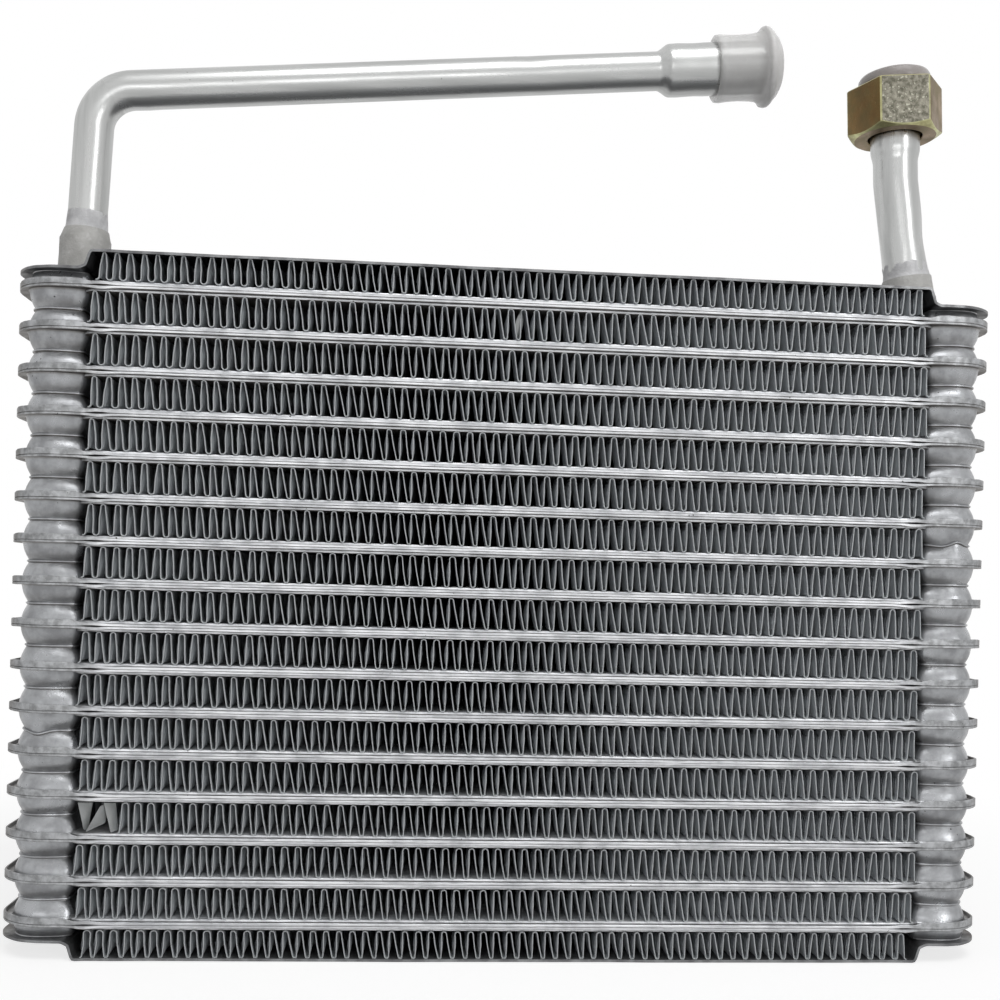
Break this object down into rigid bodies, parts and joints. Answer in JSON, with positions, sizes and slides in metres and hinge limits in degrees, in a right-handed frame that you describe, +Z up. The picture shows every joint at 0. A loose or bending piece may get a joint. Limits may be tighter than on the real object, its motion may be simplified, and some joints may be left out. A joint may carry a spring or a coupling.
{
  "type": "evaporator core",
  "caption": "Laminated plate-and-fin evaporator core with drawn-cup tanks at both ends, a bent inlet pipe with a cap, and a short outlet tube with a turning hex nut and plug.",
  "frame": {"origin": "under the middle of the bottom end plate", "axes": "+X along the flat tubes towards the outlet, +Y through the core's depth away from the pictured face, +Z up the stack towards the pipes"},
  "size_m": [0.3058, 0.09, 0.3101],
  "materials": {
    "tube_plate": "satin, brazed",
    "fin": "thin rolled strip, dull",
    "end_plate": "satin",
    "collar": "matte, with braze",
    "pipe": "bright drawn",
    "nut": "yellow chromate on zinc, scratched",
    "inlet_cap": "milky translucent",
    "outlet_plug": "milky translucent"
  },
  "bodies": {
    "core": {"plate_lower_01": "tube_plate", "plate_upper_01": "tube_plate", "plate_lower_02": "tube_plate", "plate_upper_02": "tube_plate", "plate_lower_03": "tube_plate", "plate_upper_03": "tube_plate", "plate_lower_04": "tube_plate", "plate_upper_04": "tube_plate", "plate_lower_05": "tube_plate", "plate_upper_05": "tube_plate", "plate_lower_06": "tube_plate", "plate_upper_06": "tube_plate", "plate_lower_07": "tube_plate", "plate_upper_07": "tube_plate", "plate_lower_08": "tube_plate", "plate_upper_08": "tube_plate", "plate_lower_09": "tube_plate", "plate_upper_09": "tube_plate", "plate_lower_10": "tube_plate", "plate_upper_10": "tube_plate", "plate_lower_11": "tube_plate", "plate_upper_11": "tube_plate", "plate_lower_12": "tube_plate", "plate_upper_12": "tube_plate", "plate_lower_13": "tube_plate", "plate_upper_13": "tube_plate", "plate_lower_14": "tube_plate", "plate_upper_14": "tube_plate", "plate_lower_15": "tube_plate", "plate_upper_15": "tube_plate", "plate_lower_16": "tube_plate", "plate_upper_16": "tube_plate", "fin_01": "fin", "fin_02": "fin", "fin_03": "fin", "fin_04": "fin", "fin_05": "fin", "fin_06": "fin", "fin_07": "fin", "fin_08": "fin", "fin_09": "fin", "fin_10": "fin", "fin_11": "fin", "fin_12": "fin", "fin_13": "fin", "fin_14": "fin", "fin_15": "fin", "fin_16": "fin", "fin_17": "fin", "top_end_plate": "end_plate", "bottom_end_plate": "end_plate", "inlet_collar": "collar", "inlet_pipe": "pipe", "inlet_cap": "inlet_cap", "outlet_collar": "collar", "outlet_tube": "pipe"},
    "nut": {"outlet_nut": "nut", "outlet_plug": "outlet_plug"}
  },
  "joints": [
    {"name": "outlet_nut_turn", "type": "hinge", "parent": "core", "child": "nut", "pos_m": [0.13356, 0, 0.27448], "axis": [-0.0401, 0, 0.9992], "continuous": true}
  ]
}
